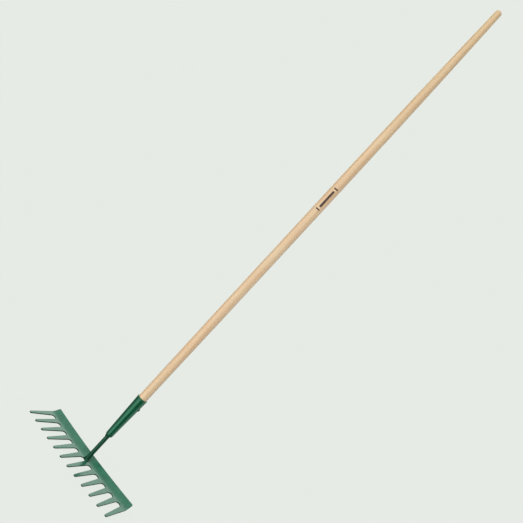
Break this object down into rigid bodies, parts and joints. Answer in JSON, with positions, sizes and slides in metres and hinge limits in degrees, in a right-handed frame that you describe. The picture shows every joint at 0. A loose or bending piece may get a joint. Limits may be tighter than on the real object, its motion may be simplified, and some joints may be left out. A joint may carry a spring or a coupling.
{
  "type": "garden rake",
  "caption": "Straight-headed garden rake: a bowed steel tine head on a welded neck and tapered socket, with a long turned wooden handle.",
  "frame": {"origin": "middle of the rake's outline seen from above, at the height of the lowest corner of the tines", "axes": "+Z along the handle towards its free end, X along the head, -Y the way the tines point"},
  "size_m": [0.3762, 0.1145, 1.663],
  "materials": {
    "head_paint": "glossy green enamel over pressed steel",
    "neck_paint": "glossy dark green enamel over a steel rod and its welds",
    "socket_paint": "glossy dark green enamel over rolled steel",
    "nail_paint": "dark green enamel over a steel nail",
    "handle_wood": "fine straight grain under satin varnish",
    "print_film": "dark printed transfer with plain bars"
  },
  "bodies": {
    "root": {"rake_head": "head_paint", "neck_rod": "neck_paint", "head_weld": "neck_paint", "socket": "socket_paint", "socket_weld": "neck_paint", "socket_nail": "nail_paint", "handle_shaft": "handle_wood", "handle_print": "print_film"}
  },
  "joints": []
}
